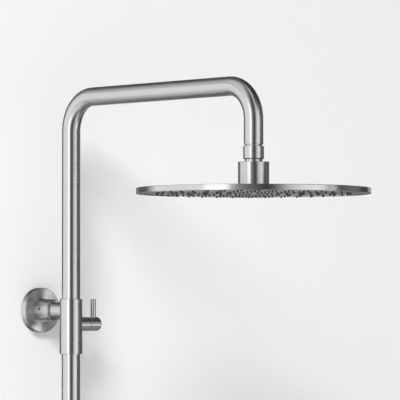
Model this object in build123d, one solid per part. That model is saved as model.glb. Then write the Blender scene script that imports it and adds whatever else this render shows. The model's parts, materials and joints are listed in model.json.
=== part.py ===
from build123d import *
import math
import os

# A wall-mounted thermostatic shower column with a round rain head, in millimetres.
# The wall is the plane y = 0 and the room lies towards -Y. +X is to the right and +Z is up.
# The origin is the middle of the upper wall bracket, on the wall.

# Layout
RISER_REACH = 70.8  # wall to the riser's axis
ARM_HEIGHT = 290.0  # bracket axis up to the arm's axis
ARM_REACH = 366.0  # riser axis to the head's axis
ARM_DROP = 77.2  # arm axis down to the tube's lower end
MIXER_DROP = 780.0  # bracket axis down to the mixer's axis
INLET_SPACING = 150.0  # between the mixer's two inlets

# Clearances, per side
SEAT_GAP = 0.05  # between fixed pieces that seat in each other
BEARING_GAP = 0.06  # round a shaft that turns in its bore
RUN_GAP = 0.3  # between pieces that move past each other
EDGE_MATCH = 0.01  # how near an edge's height and radius have to be to those asked for

# Column tube
TUBE_D = 25.0
TUBE_WALL = 1.5
BEND_RADIUS = 45.0
TUBE_CHAMFER = 0.6

# Pipe threads, drawn as plain cylinders of the thread's outer diameter
HALF_INCH_D = 20.955
THREE_QUARTER_D = 26.441

# Arm end and ball joint
INSERT_PLUG = 16.0  # length inside the tube
INSERT_FLANGE_D = 21.2
INSERT_FLANGE = 1.8
INSERT_THREAD = 10.0
INSERT_BORE_D = 15.0
WASHER = 2.0  # thickness of every flat washer
COLLAR_D = 26.7
COLLAR_HEIGHT = 17.1
COLLAR_TOP_CHAMFER = 0.5
COLLAR_FOOT_CHAMFER = 1.4
NECK_D = 22.8
NECK_HEIGHT = 3.1  # seen between the collar and the hub
BALL_D = 26.0
BALL_DEPTH = 13.0  # hub's top face down to the ball's centre
BALL_BORE_D = 9.0
STUD_D = 14.0
LINER = 1.1  # thickness of the liner and of the seal
LINER_TOP = 8.4  # heights above the ball's centre
LINER_FOOT = 2.0
SEAL_TOP = -3.0
SEAL_FOOT = -11.0

# Hub and rain head
HUB_D = 40.0
HUB_HEIGHT = 33.3
HUB_CHAMFER = 0.4
HUB_FUNNEL_D = 34.4  # recess that lets the hub tilt round the neck
HUB_FUNNEL_DEPTH = 2.5
HUB_LIP_HEIGHT = 9.25  # lip that holds the liner, above the ball's centre
SPIGOT_D = 30.9
SPIGOT_BORE_D = 13.0
SPIGOT_FOOT_D = 24.0
REGULATOR_D = 18.0
REGULATOR = 3.5
REGULATOR_HOLES = 6
REGULATOR_HOLE_D = 2.4
REGULATOR_HOLE_RING_D = 9.0
HEAD_D = 300.0
HEAD_THICKNESS = 7.6
HEAD_SHEET = 1.2
RIM_LIP = 1.0  # thickness of the edge rolled in under the nozzle plate
RIM_LIP_WIDTH = 3.0
RIM_ROUND = 0.8
NOZZLE_PLATE = 1.0
MAT = 1.5
GASKET_WIDTH = 4.0
NOZZLE_RINGS = 6
NOZZLES_PER_RING_STEP = 6
NOZZLE_FIRST_RING = 24.0
NOZZLE_PITCH = 20.0
NOZZLE_ROOT_R = 1.6
NOZZLE_TIP_R = 1.0
NOZZLE_BORE_R = 0.5
NOZZLE_REACH = 2.6  # below the nozzle plate

# Wall bracket
ROSETTE_D = 61.6
ROSETTE_DEPTH = 9.7
ROSETTE_SHEET = 1.2
ROSETTE_CHAMFER = 0.8
WALL_PLATE_D = 52.0
WALL_PLATE = 5.0
WALL_SCREW_SPACING = 36.0
WALL_SCREW_HOLE_D = 4.5
WALL_SCREW_HEAD_D = 8.5
WALL_SPIGOT_D = 20.0
WALL_SPIGOT = 26.0  # length from the wall
WALL_SPIGOT_CHAMFER = 1.0
BOSS_ROOT_D = 31.6
BOSS_END_D = 29.0
BOSS_TO_RISER = 34.0  # boss's free end to the riser's axis
BOSS_CHAMFER = 1.2
BRACKET_ARM_D = 22.3
BRACKET_ARM_PLUG = 9.8  # length inside the boss
GRUB_D = 4.0
GRUB_SOCKET_FLATS = 2.0
GRUB_SOCKET = 2.5  # depth
GRUB_FROM_WALL = 20.4
GRUB_TILT = 8.0  # degrees above level, on the left
SMALL_SEAL = 2.0  # section of the small square seals

# Valve on the riser
SLEEVE_D = 30.8
SLEEVE_TOP = 15.6
SLEEVE_HEIGHT = 75.0
SLEEVE_CHAMFER = 0.4
SOCKET_DEPTH = 14.0
SEAL_GROOVE = 1.45  # depth of the seal groove in the socket's wall
WATERWAY_D = 18.0
VALVE_DROP = 18.7  # bracket axis down to the valve's axis
VALVE_D = 19.0
CARTRIDGE_D = 16.0
CARTRIDGE_START = -10.5  # along X from the riser's axis
ROTOR_D = 12.0
ROTOR_END = 13.3
ROTOR_PORT_D = 8.5
STEM_D = 8.0
STEM_SPLINES = 16
SPLINE_D = 1.0  # of the round grooves along a splined shaft
NECK_END = 29.1
KNOB_GROOVE = 1.3
KNOB_CHAMFER = 0.3
KNOB_END = 47.5
KNOB_ROUND = 2.0
KNOB_BORE_END = 43.4
LEVER_X = 39.4
LEVER_D = 7.2
LEVER_REACH = 34.4  # above the valve's axis
LEVER_THREAD_D = 5.0
LEVER_SPOT = 0.7  # depth of the flat that the lever stands on
LEVER_CHAMFER = 0.3

# Mixer
BAR_D = 44.0
BAR_LENGTH = 190.0
BAR_CHAMFER = 0.6
BOSS_RISE = 3.0  # of the bar's round bosses above the bar
TOP_BOSS_D = 34.0
INLET_BOSS_D = 31.0
POCKET_D = 28.0
POCKET_DEPTH = 50.0
CHANNEL_D = 14.0
NOSE_D = 24.0
NOSE = 6.0
SPINDLE_D = 10.0
SPINDLE_SPLINES = 20
SPINDLE_ROOT = 14.0  # length inside the cartridge
STOP_RING_D = 30.0
STOP_RING = 4.0
STOP_LUG_REACH = 16.5  # from the axis
STOP_LUG_WIDTH = 4.0
HANDLE_LENGTH = 48.0
HANDLE_GAP = 0.8
HANDLE_ROUND = 8.0
HANDLE_CHAMFER = 0.6
HANDLE_CAVITY_D = 35.0
HANDLE_CAVITY = 16.0
HANDLE_GRIP = 14.0  # length of the spindle inside the handle's bore
HANDLE_PIN_D = 8.0
HANDLE_PIN_REACH = 42.0
HANDLE_PIN_AT = 23.0  # from the handle's inner end
BUTTON_D = 8.0
BUTTON_PROUD = 1.2
BUTTON_CHAMFER = 0.4
BUTTON_TRAVEL = 2.0
BUTTON_FLANGE_D = 10.2
BUTTON_FLANGE = 2.0
BUTTON_BUSH_D = 11.0
BUTTON_BUSH = 3.0
BUTTON_SINK = 0.4  # of the bush below the handle's surface
HOSE_PORT_X = -60.0
HOSE_THREAD = 12.0
HOSE_FLANGE_D = 27.0
HOSE_FLANGE = 3.0
HOSE_BORE_D = 12.0
HOSE_FLANGE_CHAMFER = 0.4

# Unions
UNION_THREAD_D = 30.2
UNION_NUT_D = 37.0
UNION_LIP = 3.0  # of the nut, round the tube
TAIL_FLANGE = 3.0
TAIL_PLUG = 10.0
NIPPLE_HEIGHT = 12.0
NIPPLE_ROOT = 8.0
NIPPLE_BORE_D = 16.0
INLET_NUT_FLATS = 30.0
INLET_NUT = 21.0
NUT_CORNER_ANGLE = 30.0  # degrees, of the cone that rounds the nut's corners
INLET_TAIL_D = 20.8
INLET_TAIL_ROOT = 6.0
INLET_TAIL_FLANGE_D = 25.2
CHECK_VALVE_D = 15.0
CHECK_VALVE = 11.0
CHECK_VALVE_BORE_D = 7.5
ECCENTRIC_D = 30.0
ECCENTRIC_OFFSET = 8.0
ECCENTRIC_CHAMFER = 1.0
UNION_IN_NUT = 7.0  # length of the union's thread inside the nut
WALL_THREAD = 15.0
UNION_BORE_D = 14.0

# Radii and places that follow from the sizes above
TUBE_R = TUBE_D / 2
TUBE_BORE_R = TUBE_R - TUBE_WALL
TUBE_END = ARM_HEIGHT - ARM_DROP
COLLAR_TOP = TUBE_END - INSERT_FLANGE
COLLAR_FOOT = COLLAR_TOP - COLLAR_HEIGHT
HUB_TOP = COLLAR_FOOT - NECK_HEIGHT
BALL_Z = HUB_TOP - BALL_DEPTH
HEAD_TOP = HUB_TOP - HUB_HEIGHT
HEAD_FOOT = HEAD_TOP - HEAD_THICKNESS
BALL_R = BALL_D / 2
LINER_R = BALL_R + RUN_GAP + LINER
CAVITY_R = LINER_R + RUN_GAP
SLEEVE_FOOT = SLEEVE_TOP - SLEEVE_HEIGHT
LOWER_TUBE_TOP = SLEEVE_FOOT + SOCKET_DEPTH - SEAT_GAP
BAR_R = BAR_D / 2
BOSS_FACE = BAR_R + BOSS_RISE
MIXER_Z = -MIXER_DROP
TAIL_FOOT = MIXER_Z + BOSS_FACE + NIPPLE_HEIGHT + WASHER
LOWER_TUBE_FOOT = TAIL_FOOT + TAIL_FLANGE

# Placements
TO_RIGHT = Rot(0, 90, 0)
TO_ROOM = Rot(90, 0, 0)
TO_WALL = Rot(-90, 0, 0)
RISER = Pos(0, -RISER_REACH, 0)
HEAD = Pos(0, -RISER_REACH - ARM_REACH, 0)
BALL = HEAD * Pos(0, 0, BALL_Z)
VALVE = RISER * Pos(0, 0, -VALVE_DROP)
MIXER = RISER * Pos(0, 0, MIXER_Z)


def turned(corners):
    """A solid turned about Z from (radius, height) corners."""
    outline = Polyline([(radius, 0, height) for radius, height in corners], close=True)
    return revolve(make_face(outline), Axis.Z)


def ring(outer_r, inner_r, foot, top):
    """A plain ring about Z."""
    return turned([(inner_r, foot), (outer_r, foot), (outer_r, top), (inner_r, top)])


def rod(radius, foot, top):
    """A plain round rod about Z."""
    return Pos(0, 0, foot) * Cylinder(radius, top - foot, align=(Align.CENTER, Align.CENTER, Align.MIN))


def circles_at(solid, height, radius):
    """The round edges of a turned solid at one height and radius."""
    rounds = solid.edges().filter_by(GeomType.CIRCLE)
    level = [edge for edge in rounds if abs(edge.arc_center.Z - height) < EDGE_MATCH]
    return [edge for edge in level if abs(edge.radius - radius) < EDGE_MATCH]


def splined(diameter, splines, gap=0):
    """The outline of a splined shaft, or with a gap that of the bore that fits over it."""
    grooves = PolarLocations(diameter / 2 + gap, splines)
    return Circle(diameter / 2 + gap) - [place * Circle(SPLINE_D / 2 - gap) for place in grooves]


# Column tube and arm end


def riser_arm_tube():
    """The bent tube: up out of the valve body, out along the arm and down to the head."""
    foot = SLEEVE_TOP - SOCKET_DEPTH + SEAT_GAP
    path = FilletPolyline(
        (0, 0, foot),
        (0, 0, ARM_HEIGHT),
        (0, -ARM_REACH, ARM_HEIGHT),
        (0, -ARM_REACH, TUBE_END),
        radius=BEND_RADIUS,
    )
    section = Plane(path @ 0, z_dir=path % 0) * (Circle(TUBE_R) - Circle(TUBE_BORE_R))
    tube = sweep(section, path=path)
    tube = chamfer(circles_at(tube, TUBE_END, TUBE_R), TUBE_CHAMFER)
    return RISER * tube


def lower_tube():
    """The straight tube from the mixer's union up into the valve body."""
    return RISER * ring(TUBE_R, TUBE_BORE_R, LOWER_TUBE_FOOT, LOWER_TUBE_TOP)


def arm_insert():
    """The threaded insert in the arm's end, with the flange that shows as a fine neck."""
    plug_r = TUBE_BORE_R - SEAT_GAP
    bore_r = INSERT_BORE_D / 2
    thread_r = HALF_INCH_D / 2
    thread_foot = COLLAR_TOP - INSERT_THREAD
    return HEAD * turned(
        [
            (bore_r, thread_foot),
            (thread_r, thread_foot),
            (thread_r, COLLAR_TOP),
            (INSERT_FLANGE_D / 2, COLLAR_TOP),
            (INSERT_FLANGE_D / 2, TUBE_END),
            (plug_r, TUBE_END),
            (plug_r, TUBE_END + INSERT_PLUG),
            (bore_r, TUBE_END + INSERT_PLUG),
        ]
    )


def joint_washer():
    """The flat washer that the insert presses onto the collar's floor."""
    top = COLLAR_TOP - INSERT_THREAD
    return HEAD * ring(HALF_INCH_D / 2, BALL_BORE_D / 2, top - WASHER, top)


def ball_collar():
    """The round collar that screws onto the insert, with the neck that the ball stud screws into."""
    collar_r = COLLAR_D / 2
    thread_r = HALF_INCH_D / 2 + SEAT_GAP
    stud_bore_r = STUD_D / 2 + SEAT_GAP
    floor = COLLAR_TOP - INSERT_THREAD - WASHER
    return HEAD * turned(
        [
            (stud_bore_r, HUB_TOP),
            (NECK_D / 2, HUB_TOP),
            (NECK_D / 2, COLLAR_FOOT),
            (collar_r - COLLAR_FOOT_CHAMFER, COLLAR_FOOT),
            (collar_r, COLLAR_FOOT + COLLAR_FOOT_CHAMFER),
            (collar_r, COLLAR_TOP - COLLAR_TOP_CHAMFER),
            (collar_r - COLLAR_TOP_CHAMFER, COLLAR_TOP),
            (thread_r, COLLAR_TOP),
            (thread_r, floor),
            (stud_bore_r, floor),
        ]
    )


def ball_stud():
    """The hollow ball on its threaded stud."""
    stud_top = COLLAR_TOP - INSERT_THREAD - WASHER - BALL_Z
    flat = SEAL_FOOT
    ball = Sphere(BALL_R) + rod(STUD_D / 2, 0, stud_top)
    ball -= rod(BALL_R, -2 * BALL_R, flat)
    ball -= rod(BALL_BORE_D / 2, -BALL_R, stud_top)
    return BALL * ball


def ball_zone(foot, top):
    """A ring between two spheres about the ball's centre, cut level at two heights."""
    shell = Sphere(LINER_R) - Sphere(BALL_R + RUN_GAP)
    return BALL * (shell & rod(LINER_R, foot, top))


def ball_liner():
    """The upper plastic ring that carries the hub on the ball."""
    return ball_zone(LINER_FOOT, LINER_TOP)


def ball_seal():
    """The lower ring that seals the spigot to the ball."""
    return ball_zone(SEAL_FOOT, SEAL_TOP)


# Hub and rain head


def hub():
    """The round housing that holds the ball from above and screws onto the head's spigot."""
    hub_r = HUB_D / 2
    step = SEAL_TOP
    lip_r = math.sqrt(CAVITY_R**2 - HUB_LIP_HEIGHT**2)
    thread_r = SPIGOT_D / 2 + SEAT_GAP
    foot = BALL_DEPTH - HUB_HEIGHT
    body = turned(
        [
            (thread_r, foot),
            (hub_r, foot),
            (hub_r, BALL_DEPTH - HUB_CHAMFER),
            (hub_r - HUB_CHAMFER, BALL_DEPTH),
            (HUB_FUNNEL_D / 2, BALL_DEPTH),
            (HUB_FUNNEL_D / 2, BALL_DEPTH - HUB_FUNNEL_DEPTH),
            (lip_r, HUB_LIP_HEIGHT),
            (lip_r, step),
            (thread_r, step),
        ]
    )
    body -= Sphere(CAVITY_R)
    body -= rod(CAVITY_R, step, 0)
    return BALL * body


def head_spigot():
    """The threaded stub on the head's top, cupped for the ball's seal."""
    spigot_r = SPIGOT_D / 2
    top = SEAL_TOP - RUN_GAP
    sheet_top = BALL_DEPTH - HUB_HEIGHT
    sheet_foot = sheet_top - HEAD_SHEET
    pocket_r = REGULATOR_D / 2 + SEAT_GAP
    stub = turned(
        [
            (pocket_r, sheet_foot),
            (SPIGOT_FOOT_D / 2, sheet_foot),
            (SPIGOT_FOOT_D / 2, sheet_top),
            (spigot_r, sheet_top),
            (spigot_r, top),
            (SPIGOT_BORE_D / 2, top),
            (SPIGOT_BORE_D / 2, sheet_foot + REGULATOR),
            (pocket_r, sheet_foot + REGULATOR),
        ]
    )
    return BALL * (stub - Sphere(CAVITY_R))


def flow_regulator():
    """The disc with small holes that limits the flow into the head."""
    hole = rod(REGULATOR_HOLE_D / 2, 0, REGULATOR)
    holes = PolarLocations(REGULATOR_HOLE_RING_D / 2, REGULATOR_HOLES)
    disc = rod(REGULATOR_D / 2, 0, REGULATOR) - [place * hole for place in holes]
    return HEAD * Pos(0, 0, HEAD_TOP - HEAD_SHEET) * disc


def head_shell():
    """The flat round top with its rim, rolled in at the foot to hold the nozzle plate."""
    head_r = HEAD_D / 2
    inner_r = head_r - HEAD_SHEET
    shell = turned(
        [
            (SPIGOT_FOOT_D / 2 + SEAT_GAP, HEAD_TOP - HEAD_SHEET),
            (inner_r, HEAD_TOP - HEAD_SHEET),
            (inner_r, HEAD_FOOT + RIM_LIP),
            (head_r - RIM_LIP_WIDTH, HEAD_FOOT + RIM_LIP),
            (head_r - RIM_LIP_WIDTH, HEAD_FOOT),
            (head_r, HEAD_FOOT),
            (head_r, HEAD_TOP),
            (SPIGOT_FOOT_D / 2 + SEAT_GAP, HEAD_TOP),
        ]
    )
    edges = circles_at(shell, HEAD_TOP, head_r) + circles_at(shell, HEAD_FOOT, head_r)
    return HEAD * fillet(edges, RIM_ROUND)


def nozzle_places():
    """Where the nozzles stand: rings about the head's axis, each with more than the last."""
    places = []
    for number in range(1, NOZZLE_RINGS + 1):
        radius = NOZZLE_FIRST_RING + (number - 1) * NOZZLE_PITCH
        places += PolarLocations(radius, number * NOZZLES_PER_RING_STEP).locations
    return places


def nozzle_plate():
    """The thin plate that the nozzles reach through."""
    hole = RegularPolygon(NOZZLE_ROOT_R + SEAT_GAP * 2, 6)
    disc = Circle(HEAD_D / 2 - HEAD_SHEET - SEAT_GAP) - [place * hole for place in nozzle_places()]
    return HEAD * Pos(0, 0, HEAD_FOOT + RIM_LIP) * extrude(disc, NOZZLE_PLATE)


def nozzle_mat():
    """The rubber mat with its hollow nozzles, each a six-sided taper."""
    mat_r = HEAD_D / 2 - HEAD_SHEET - GASKET_WIDTH - SEAT_GAP * 2
    bore = RegularPolygon(NOZZLE_BORE_R, 6)
    places = nozzle_places()
    sheet = extrude(Circle(mat_r) - [place * bore for place in places], MAT)
    root = RegularPolygon(NOZZLE_ROOT_R, 6)
    tip = Pos(0, 0, -NOZZLE_PLATE - NOZZLE_REACH) * RegularPolygon(NOZZLE_TIP_R, 6)
    drop = NOZZLE_PLATE + NOZZLE_REACH
    nozzle = loft([root, tip]) - extrude(bore, -drop)
    mat = sheet.fuse(*[place * nozzle for place in places])
    return HEAD * Pos(0, 0, HEAD_FOOT + RIM_LIP + NOZZLE_PLATE) * mat


def head_gasket():
    """The ring that seals the nozzle plate to the shell inside the rim."""
    outer_r = HEAD_D / 2 - HEAD_SHEET - SEAT_GAP
    foot = HEAD_FOOT + RIM_LIP + NOZZLE_PLATE
    return HEAD * ring(outer_r, outer_r - GASKET_WIDTH, foot, HEAD_TOP - HEAD_SHEET)


# Wall bracket, drawn with Z as the distance from the wall


def wall_plate():
    """The plate that is screwed to the wall, with the spigot that carries the bracket."""
    spigot_r = WALL_SPIGOT_D / 2
    plate = turned(
        [
            (0, 0),
            (WALL_PLATE_D / 2, 0),
            (WALL_PLATE_D / 2, WALL_PLATE),
            (spigot_r, WALL_PLATE),
            (spigot_r, WALL_SPIGOT - WALL_SPIGOT_CHAMFER),
            (spigot_r - WALL_SPIGOT_CHAMFER, WALL_SPIGOT),
            (0, WALL_SPIGOT),
        ]
    )
    hole_r = WALL_SCREW_HOLE_D / 2
    head_r = WALL_SCREW_HEAD_D / 2
    hole = turned(
        [
            (0, 0),
            (hole_r, 0),
            (hole_r, WALL_PLATE - (head_r - hole_r)),
            (head_r, WALL_PLATE),
            (0, WALL_PLATE),
        ]
    )
    for side in (-1, 1):
        plate -= Pos(side * WALL_SCREW_SPACING / 2, 0, 0) * hole
    return TO_ROOM * plate


def rosette(hole_r):
    """A round cover cup that stands on the wall."""
    outer_r = ROSETTE_D / 2
    face = ROSETTE_DEPTH
    return turned(
        [
            (outer_r - ROSETTE_SHEET, 0),
            (outer_r, 0),
            (outer_r, face - ROSETTE_CHAMFER),
            (outer_r - ROSETTE_CHAMFER, face),
            (hole_r, face),
            (hole_r, face - ROSETTE_SHEET),
            (outer_r - ROSETTE_SHEET, face - ROSETTE_SHEET),
        ]
    )


def wall_rosette():
    """The cover over the wall plate."""
    return TO_ROOM * rosette(BOSS_ROOT_D / 2 + RUN_GAP)


def rosette_ring():
    """The ring behind the rosette's face that grips the boss."""
    inner_r = BOSS_ROOT_D / 2 + SEAT_GAP
    top = ROSETTE_DEPTH - ROSETTE_SHEET - SEAT_GAP
    return TO_ROOM * ring(inner_r + SMALL_SEAL, inner_r, top - SMALL_SEAL, top)


def grub_place():
    """The grub screw's axis: out of the boss to the left, a little above level."""
    return TO_ROOM * Pos(0, 0, GRUB_FROM_WALL) * Rot(0, 0, 180 - GRUB_TILT) * TO_RIGHT


def bracket_boss():
    """The tapered socket on the bracket arm that slips over the wall spigot."""
    foot = WALL_PLATE + RUN_GAP
    end = RISER_REACH - BOSS_TO_RISER
    step = end - BRACKET_ARM_PLUG
    spigot_bore_r = WALL_SPIGOT_D / 2 + SEAT_GAP
    arm_bore_r = BRACKET_ARM_D / 2 + SEAT_GAP
    boss = turned(
        [
            (spigot_bore_r, foot),
            (BOSS_ROOT_D / 2, foot),
            (BOSS_ROOT_D / 2, ROSETTE_DEPTH),
            (BOSS_END_D / 2, end - BOSS_CHAMFER),
            (BOSS_END_D / 2 - BOSS_CHAMFER, end),
            (arm_bore_r, end),
            (arm_bore_r, step),
            (spigot_bore_r, step),
        ]
    )
    return TO_ROOM * boss - grub_place() * rod(GRUB_D / 2 + SEAT_GAP, WALL_SPIGOT_D / 2, BOSS_ROOT_D)


def boss_grub_screw():
    """The grub screw that locks the boss on the wall spigot."""
    foot = WALL_SPIGOT_D / 2 + SEAT_GAP
    top = BOSS_END_D / 2
    screw = rod(GRUB_D / 2, foot, top)
    socket = RegularPolygon(GRUB_SOCKET_FLATS / 2, 6, major_radius=False)
    screw -= Pos(0, 0, top) * extrude(socket, -GRUB_SOCKET)
    return grub_place() * screw


def sleeve_cut():
    """The space of the valve body, for pieces that end on it."""
    return rod(SLEEVE_D / 2 + SEAT_GAP, SLEEVE_FOOT, SLEEVE_TOP)


def bracket_arm():
    """The arm from the boss to the valve body, with its end hollowed to fit round the body."""
    start = RISER_REACH - BOSS_TO_RISER - BRACKET_ARM_PLUG + SEAT_GAP
    arm = TO_ROOM * rod(BRACKET_ARM_D / 2, start, RISER_REACH)
    return arm - RISER * sleeve_cut()


# Valve on the riser, drawn along X from the riser's axis


def seal_groove_foot(socket_mouth, inward):
    """The foot of the seal groove in a tube socket."""
    return socket_mouth + inward * SOCKET_DEPTH / 2 - SMALL_SEAL / 2


def valve_body():
    """The sleeve that holds both tubes and the valve's cartridge."""
    socket_r = TUBE_R + SEAT_GAP
    sleeve_r = SLEEVE_D / 2
    body = turned(
        [
            (socket_r, SLEEVE_FOOT),
            (sleeve_r - SLEEVE_CHAMFER, SLEEVE_FOOT),
            (sleeve_r, SLEEVE_FOOT + SLEEVE_CHAMFER),
            (sleeve_r, SLEEVE_TOP - SLEEVE_CHAMFER),
            (sleeve_r - SLEEVE_CHAMFER, SLEEVE_TOP),
            (socket_r, SLEEVE_TOP),
            (socket_r, SLEEVE_TOP - SOCKET_DEPTH),
            (WATERWAY_D / 2, SLEEVE_TOP - SOCKET_DEPTH),
            (WATERWAY_D / 2, SLEEVE_FOOT + SOCKET_DEPTH),
            (socket_r, SLEEVE_FOOT + SOCKET_DEPTH),
        ]
    )
    for mouth, inward in ((SLEEVE_TOP, -1), (SLEEVE_FOOT, 1)):
        foot = seal_groove_foot(mouth, inward)
        body -= ring(TUBE_R + SEAL_GROOVE, TUBE_R, foot, foot + SMALL_SEAL)
    bore = TO_RIGHT * rod(CARTRIDGE_D / 2, CARTRIDGE_START, sleeve_r)
    return RISER * (body - Pos(0, 0, -VALVE_DROP) * bore)


def tube_seals():
    """The square rings that seal the two tubes in the valve body."""
    outer_r = TUBE_R + SEAL_GROOVE - SEAT_GAP
    seals = []
    for mouth, inward in ((SLEEVE_TOP, -1), (SLEEVE_FOOT, 1)):
        foot = seal_groove_foot(mouth, inward) + SEAT_GAP
        seals.append(RISER * ring(outer_r, TUBE_R + SEAT_GAP, foot, foot + SMALL_SEAL - 2 * SEAT_GAP))
    return Compound(children=seals)


def valve_neck():
    """The fixed round neck on the valve body's right."""
    neck = TO_RIGHT * ring(VALVE_D / 2, CARTRIDGE_D / 2 + SEAT_GAP, 0, NECK_END)
    return VALVE * neck - RISER * sleeve_cut()


def valve_cartridge():
    """The fixed sleeve that the rotor turns in, with a port at the top and at the foot."""
    outer_r = CARTRIDGE_D / 2 - SEAT_GAP
    rotor_bore_r = ROTOR_D / 2 + BEARING_GAP
    stem_bore_r = STEM_D / 2 + BEARING_GAP
    start = CARTRIDGE_START + SEAT_GAP
    sleeve = turned(
        [
            (rotor_bore_r, start),
            (outer_r, start),
            (outer_r, NECK_END),
            (stem_bore_r, NECK_END),
            (stem_bore_r, ROTOR_END + RUN_GAP),
            (rotor_bore_r, ROTOR_END + RUN_GAP),
        ]
    )
    return VALVE * (TO_RIGHT * sleeve - rod(ROTOR_PORT_D / 2, -CARTRIDGE_D, CARTRIDGE_D))


def valve_rotor():
    """The plug with its cross hole, and the stem with the splines that the knob sits on."""
    start = CARTRIDGE_START + RUN_GAP
    end = KNOB_BORE_END - SEAT_GAP
    splines = Pos(0, 0, NECK_END) * extrude(splined(STEM_D, STEM_SPLINES), end - NECK_END)
    rotor = rod(ROTOR_D / 2, start, ROTOR_END) + rod(STEM_D / 2, ROTOR_END, NECK_END) + splines
    return VALVE * (TO_RIGHT * rotor - rod(ROTOR_PORT_D / 2, -ROTOR_D, ROTOR_D))


def lever_hole(shaft_r, grip_r, thread_d, pin_d):
    """The threaded hole and the flat for a lever that stands in a round grip."""
    hole = rod(thread_d / 2 + SEAT_GAP, shaft_r, grip_r)
    return hole + rod(pin_d / 2 + SEAT_GAP, grip_r - LEVER_SPOT, grip_r + LEVER_SPOT)


def lever(shaft_r, grip_r, thread_d, pin_d, reach):
    """A round lever whose threaded end locks the grip to the shaft in it."""
    thread_r = thread_d / 2
    pin_r = pin_d / 2
    seat = grip_r - LEVER_SPOT
    return turned(
        [
            (0, shaft_r + SEAT_GAP),
            (thread_r, shaft_r + SEAT_GAP),
            (thread_r, seat),
            (pin_r, seat),
            (pin_r, reach - LEVER_CHAMFER),
            (pin_r - LEVER_CHAMFER, reach),
            (0, reach),
        ]
    )


def valve_knob():
    """The knob with its rounded end."""
    start = NECK_END + KNOB_GROOVE
    knob_r = VALVE_D / 2
    knob = rod(knob_r, start, KNOB_END)
    knob = fillet(circles_at(knob, KNOB_END, knob_r), KNOB_ROUND)
    knob = chamfer(circles_at(knob, start, knob_r), KNOB_CHAMFER)
    knob -= Pos(0, 0, start) * extrude(splined(STEM_D, STEM_SPLINES, SEAT_GAP), KNOB_BORE_END - start)
    hole = lever_hole(STEM_D / 2, knob_r, LEVER_THREAD_D, LEVER_D)
    return VALVE * (TO_RIGHT * knob - Pos(LEVER_X, 0, 0) * hole)


def valve_lever():
    """The upright pin that turns the knob."""
    pin = lever(STEM_D / 2, VALVE_D / 2, LEVER_THREAD_D, LEVER_D, LEVER_REACH)
    return VALVE * Pos(LEVER_X, 0, 0) * pin


# Mixer, drawn about the bar's middle


def mixer_body():
    """The round bar with a pocket for a cartridge at each end and a boss for each union."""
    half = BAR_LENGTH / 2
    bar = turned(
        [
            (0, -half),
            (BAR_R - BAR_CHAMFER, -half),
            (BAR_R, -half + BAR_CHAMFER),
            (BAR_R, half - BAR_CHAMFER),
            (BAR_R - BAR_CHAMFER, half),
            (0, half),
        ]
    )
    body = TO_RIGHT * bar
    inlets = [Pos(side * INLET_SPACING / 2, 0, 0) * TO_WALL for side in (-1, 1)]
    hose = Pos(HOSE_PORT_X, 0, 0) * Rot(180, 0, 0)
    body += rod(TOP_BOSS_D / 2, 0, BOSS_FACE)
    body += hose * rod(HOSE_FLANGE_D / 2, 0, BOSS_FACE)
    for place in inlets:
        body += place * rod(INLET_BOSS_D / 2, 0, BOSS_FACE)
    for side in (-1, 1):
        pocket = rod(POCKET_D / 2, half - POCKET_DEPTH, half)
        body -= Rot(0, 90 * side, 0) * pocket
    body -= TO_RIGHT * rod(CHANNEL_D / 2, -half + POCKET_DEPTH, half - POCKET_DEPTH)
    thread = rod(HALF_INCH_D / 2 + SEAT_GAP, BOSS_FACE - NIPPLE_ROOT, BOSS_FACE)
    body -= rod(CHANNEL_D / 2, 0, BOSS_FACE) + thread
    body -= hose * (rod(HOSE_BORE_D / 2, 0, BOSS_FACE) + thread)
    for place in inlets:
        root = rod(INLET_TAIL_D / 2 + SEAT_GAP, BOSS_FACE - INLET_TAIL_ROOT, BOSS_FACE)
        body -= place * (rod(CHECK_VALVE_D / 2, 0, BOSS_FACE) + root)
    return MIXER * body


def end_place(side):
    """The middle of the bar's end face, with Z pointing away from the bar."""
    return MIXER * Pos(side * BAR_LENGTH / 2, 0, 0) * Rot(0, 90 * side, 0)


def cartridge(side):
    """A cartridge in its pocket, with a nose that stands out of the bar and a bore for the spindle."""
    outer_r = POCKET_D / 2 - SEAT_GAP
    nose_r = NOSE_D / 2
    bore_r = SPINDLE_D / 2 + BEARING_GAP
    bore_floor = NOSE - SPINDLE_ROOT - RUN_GAP
    return end_place(side) * turned(
        [
            (0, SEAT_GAP - POCKET_DEPTH),
            (outer_r, SEAT_GAP - POCKET_DEPTH),
            (outer_r, 0),
            (nose_r, 0),
            (nose_r, NOSE),
            (bore_r, NOSE),
            (bore_r, bore_floor),
            (0, bore_floor),
        ]
    )


def spindle(side):
    """The shaft from the cartridge into the handle, with splines in the handle's bore."""
    foot = NOSE - SPINDLE_ROOT
    floor = HANDLE_GAP + HANDLE_CAVITY
    splines = Pos(0, 0, floor) * extrude(splined(SPINDLE_D, SPINDLE_SPLINES), HANDLE_GRIP - SEAT_GAP)
    return end_place(side) * (rod(SPINDLE_D / 2, foot, floor) + splines)


def stop_ring():
    """The ring on the thermostatic cartridge's nose that stops the handle, with its lug."""
    inner_r = NOSE_D / 2 + SEAT_GAP
    band = ring(STOP_RING_D / 2, inner_r, 0, STOP_RING)
    bar = Pos(0, STOP_LUG_REACH / 2, STOP_RING / 2) * Box(STOP_LUG_WIDTH, STOP_LUG_REACH, STOP_RING)
    lug = bar & ring(STOP_LUG_REACH, inner_r, 0, STOP_RING)
    return end_place(1) * (band + lug)


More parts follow.
